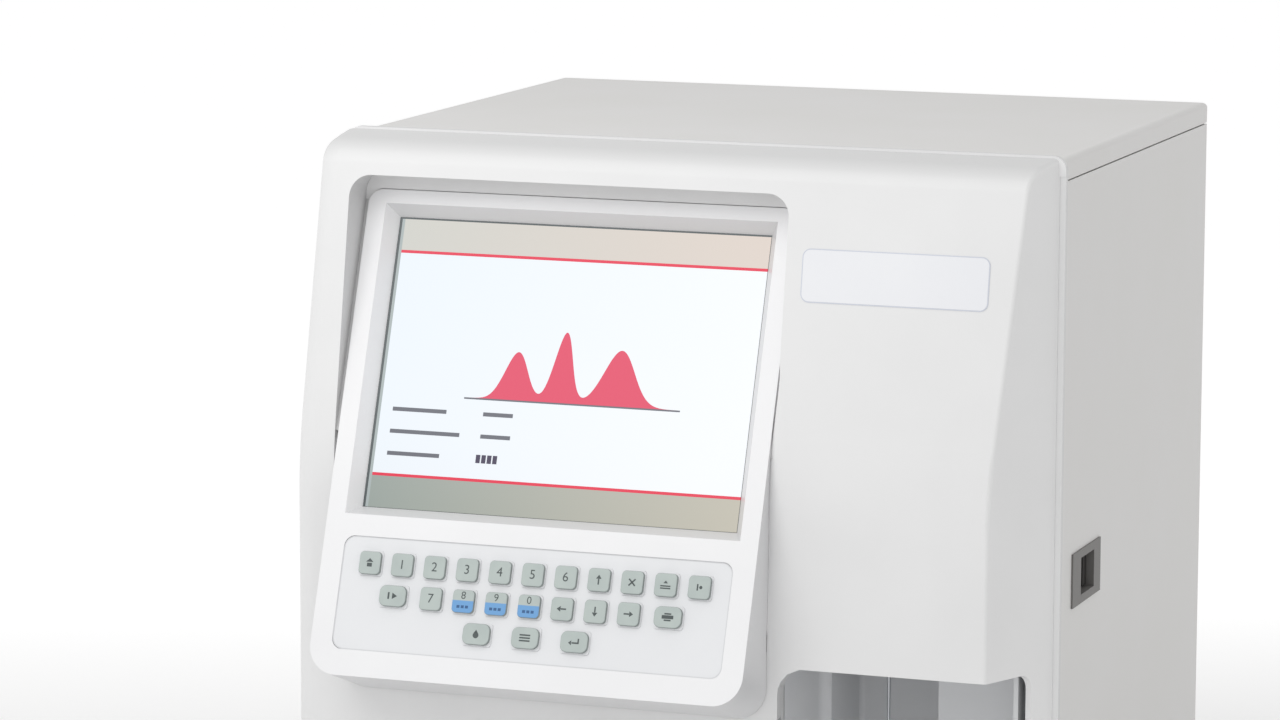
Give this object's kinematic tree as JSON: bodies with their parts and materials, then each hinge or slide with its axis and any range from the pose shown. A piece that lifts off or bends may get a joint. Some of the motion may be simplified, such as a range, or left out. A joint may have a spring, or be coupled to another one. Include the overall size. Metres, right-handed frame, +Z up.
{
  "type": "differential cell counter",
  "caption": "Bench blood cell counter with a tilted screen and keypad console, a sampling bay with a needle, a recorder flap and a hinged side door.",
  "frame": {"origin": "middle of the footprint's bounding box, on the table under the feet", "axes": "+X to the operator's right, +Y to the rear, +Z up; the screen faces -Y and up"},
  "size_m": [0.4128, 0.4236, 0.46],
  "materials": {
    "moulded_white": "satin",
    "cabinet_paint": "satin",
    "zinc_sheet": "satin",
    "aluminium_part": "satin",
    "bay_plastic": "satin",
    "keypad_plastic": "satin",
    "key_plastic": "satin",
    "screen_glass": "smooth",
    "circuit_board": "satin",
    "dark_plastic": "satin",
    "black_rubber": "matte",
    "needle_steel": "polished",
    "clear_plastic": "smooth",
    "paper": "matte",
    "nozzle_plastic": "smooth"
  },
  "bodies": {
    "cabinet": {"chassis": "zinc_sheet", "rubber_feet": "black_rubber", "front_fascia": "moulded_white", "top_cover": "cabinet_paint", "left_panel": "cabinet_paint", "door_hinge_pins": "zinc_sheet", "rear_panel": "cabinet_paint", "console_housing": "moulded_white", "display_module": "screen_glass", "keypad_plate": "keypad_plastic", "key_board": "circuit_board", "bay_liner": "bay_plastic", "probe_lift_frame": "aluminium_part", "probe_wipe": "clear_plastic", "recorder_body": "moulded_white", "divider_plate": "aluminium_part", "counting_baths": "clear_plastic", "syringe_block": "aluminium_part", "valve_bank": "dark_plastic", "vacuum_chamber": "clear_plastic", "vacuum_pump": "zinc_sheet", "power_supply": "aluminium_part", "main_board": "circuit_board", "cooling_fan": "dark_plastic", "fluid_ports": "nozzle_plastic", "power_inlet": "dark_plastic"},
    "side_door": {"right_door": "cabinet_paint", "door_latch_frame": "dark_plastic"},
    "latch": {"latch_bolt": "dark_plastic"},
    "probe": {"probe_carriage": "aluminium_part", "sample_needle": "needle_steel"},
    "tube_switch": {"tube_key": "bay_plastic"},
    "recorder_flap": {"recorder_door": "moulded_white"},
    "roll": {"paper_roll": "paper"},
    "rotor": {"fan_rotor": "dark_plastic"},
    "plungers": {"syringe_plungers": "aluminium_part"},
    "rocker": {"power_rocker": "dark_plastic"},
    "key_main": {"key_main": "key_plastic"},
    "key_1": {"key_1": "key_plastic"},
    "key_2": {"key_2": "key_plastic"},
    "key_3": {"key_3": "key_plastic"},
    "key_4": {"key_4": "key_plastic"},
    "key_5": {"key_5": "key_plastic"},
    "key_6": {"key_6": "key_plastic"},
    "key_up": {"key_up": "key_plastic"},
    "key_delete": {"key_delete": "key_plastic"},
    "key_feed": {"key_feed": "key_plastic"},
    "key_page": {"key_page": "key_plastic"},
    "key_7": {"key_7": "key_plastic"},
    "key_8": {"key_8": "key_plastic"},
    "key_9": {"key_9": "key_plastic"},
    "key_0": {"key_0": "key_plastic"},
    "key_left": {"key_left": "key_plastic"},
    "key_down": {"key_down": "key_plastic"},
    "key_right": {"key_right": "key_plastic"},
    "key_start": {"key_start": "key_plastic"},
    "key_print": {"key_print": "key_plastic"},
    "key_dilute": {"key_dilute": "key_plastic"},
    "key_menu": {"key_menu": "key_plastic"},
    "key_enter": {"key_enter": "key_plastic"}
  },
  "joints": [
    {"name": "key_main_press", "type": "slide", "parent": "cabinet", "child": "key_main", "axis": [0, 0.9406, -0.3396], "range_m": [0, 0.0015], "stiffness_N_per_m": 300, "springref_m": -0.002},
    {"name": "key_1_press", "type": "slide", "parent": "cabinet", "child": "key_1", "axis": [0, 0.9406, -0.3396], "range_m": [0, 0.0015], "stiffness_N_per_m": 300, "springref_m": -0.002},
    {"name": "key_2_press", "type": "slide", "parent": "cabinet", "child": "key_2", "axis": [0, 0.9406, -0.3396], "range_m": [0, 0.0015], "stiffness_N_per_m": 300, "springref_m": -0.002},
    {"name": "key_3_press", "type": "slide", "parent": "cabinet", "child": "key_3", "axis": [0, 0.9406, -0.3396], "range_m": [0, 0.0015], "stiffness_N_per_m": 300, "springref_m": -0.002},
    {"name": "key_4_press", "type": "slide", "parent": "cabinet", "child": "key_4", "axis": [0, 0.9406, -0.3396], "range_m": [0, 0.0015], "stiffness_N_per_m": 300, "springref_m": -0.002},
    {"name": "key_5_press", "type": "slide", "parent": "cabinet", "child": "key_5", "axis": [0, 0.9406, -0.3396], "range_m": [0, 0.0015], "stiffness_N_per_m": 300, "springref_m": -0.002},
    {"name": "key_6_press", "type": "slide", "parent": "cabinet", "child": "key_6", "axis": [0, 0.9406, -0.3396], "range_m": [0, 0.0015], "stiffness_N_per_m": 300, "springref_m": -0.002},
    {"name": "key_up_press", "type": "slide", "parent": "cabinet", "child": "key_up", "axis": [0, 0.9406, -0.3396], "range_m": [0, 0.0015], "stiffness_N_per_m": 300, "springref_m": -0.002},
    {"name": "key_delete_press", "type": "slide", "parent": "cabinet", "child": "key_delete", "axis": [0, 0.9406, -0.3396], "range_m": [0, 0.0015], "stiffness_N_per_m": 300, "springref_m": -0.002},
    {"name": "key_feed_press", "type": "slide", "parent": "cabinet", "child": "key_feed", "axis": [0, 0.9406, -0.3396], "range_m": [0, 0.0015], "stiffness_N_per_m": 300, "springref_m": -0.002},
    {"name": "key_page_press", "type": "slide", "parent": "cabinet", "child": "key_page", "axis": [0, 0.9406, -0.3396], "range_m": [0, 0.0015], "stiffness_N_per_m": 300, "springref_m": -0.002},
    {"name": "key_7_press", "type": "slide", "parent": "cabinet", "child": "key_7", "axis": [0, 0.9406, -0.3396], "range_m": [0, 0.0015], "stiffness_N_per_m": 300, "springref_m": -0.002},
    {"name": "key_8_press", "type": "slide", "parent": "cabinet", "child": "key_8", "axis": [0, 0.9406, -0.3396], "range_m": [0, 0.0015], "stiffness_N_per_m": 300, "springref_m": -0.002},
    {"name": "key_9_press", "type": "slide", "parent": "cabinet", "child": "key_9", "axis": [0, 0.9406, -0.3396], "range_m": [0, 0.0015], "stiffness_N_per_m": 300, "springref_m": -0.002},
    {"name": "key_0_press", "type": "slide", "parent": "cabinet", "child": "key_0", "axis": [0, 0.9406, -0.3396], "range_m": [0, 0.0015], "stiffness_N_per_m": 300, "springref_m": -0.002},
    {"name": "key_left_press", "type": "slide", "parent": "cabinet", "child": "key_left", "axis": [0, 0.9406, -0.3396], "range_m": [0, 0.0015], "stiffness_N_per_m": 300, "springref_m": -0.002},
    {"name": "key_down_press", "type": "slide", "parent": "cabinet", "child": "key_down", "axis": [0, 0.9406, -0.3396], "range_m": [0, 0.0015], "stiffness_N_per_m": 300, "springref_m": -0.002},
    {"name": "key_right_press", "type": "slide", "parent": "cabinet", "child": "key_right", "axis": [0, 0.9406, -0.3396], "range_m": [0, 0.0015], "stiffness_N_per_m": 300, "springref_m": -0.002},
    {"name": "key_start_press", "type": "slide", "parent": "cabinet", "child": "key_start", "axis": [0, 0.9406, -0.3396], "range_m": [0, 0.0015], "stiffness_N_per_m": 300, "springref_m": -0.002},
    {"name": "key_print_press", "type": "slide", "parent": "cabinet", "child": "key_print", "axis": [0, 0.9406, -0.3396], "range_m": [0, 0.0015], "stiffness_N_per_m": 300, "springref_m": -0.002},
    {"name": "key_dilute_press", "type": "slide", "parent": "cabinet", "child": "key_dilute", "axis": [0, 0.9406, -0.3396], "range_m": [0, 0.0015], "stiffness_N_per_m": 300, "springref_m": -0.002},
    {"name": "key_menu_press", "type": "slide", "parent": "cabinet", "child": "key_menu", "axis": [0, 0.9406, -0.3396], "range_m": [0, 0.0015], "stiffness_N_per_m": 300, "springref_m": -0.002},
    {"name": "key_enter_press", "type": "slide", "parent": "cabinet", "child": "key_enter", "axis": [0, 0.9406, -0.3396], "range_m": [0, 0.0015], "stiffness_N_per_m": 300, "springref_m": -0.002},
    {"name": "tube_press", "type": "slide", "parent": "cabinet", "child": "tube_switch", "axis": [0, 1, 0], "range_m": [0, 0.003], "stiffness_N_per_m": 300, "springref_m": -0.003},
    {"name": "probe_lift", "type": "slide", "parent": "cabinet", "child": "probe", "axis": [0, 0, 1], "range_m": [0, 0.07]},
    {"name": "door_swing", "type": "hinge", "parent": "cabinet", "child": "side_door", "pos_m": [0.19837, 0.18733, 0.231], "axis": [0, 0, 1], "range_deg": [0, 105]},
    {"name": "latch_throw", "type": "slide", "parent": "side_door", "child": "latch", "axis": [0, -1, 0], "range_m": [0, 0.008]},
    {"name": "recorder_flap_swing", "type": "hinge", "parent": "cabinet", "child": "recorder_flap", "pos_m": [-0.09863, -0.16667, 0.048], "axis": [1, 0, 0], "range_deg": [0, 85]},
    {"name": "paper_roll_turn", "type": "hinge", "parent": "cabinet", "child": "roll", "pos_m": [-0.09863, -0.13167, 0.074], "axis": [1, 0, 0], "continuous": true},
    {"name": "rocker_tilt", "type": "hinge", "parent": "cabinet", "child": "rocker", "pos_m": [-0.11363, 0.18683, 0.084], "axis": [1, 0, 0], "range_deg": [0, 16]},
    {"name": "fan_spin", "type": "hinge", "parent": "cabinet", "child": "rotor", "pos_m": [-0.05363, 0.17833, 0.36], "axis": [0, 1, 0], "continuous": true},
    {"name": "plunger_stroke", "type": "slide", "parent": "cabinet", "child": "plungers", "axis": [0, 0, 1], "range_m": [0, 0.045]}
  ]
}
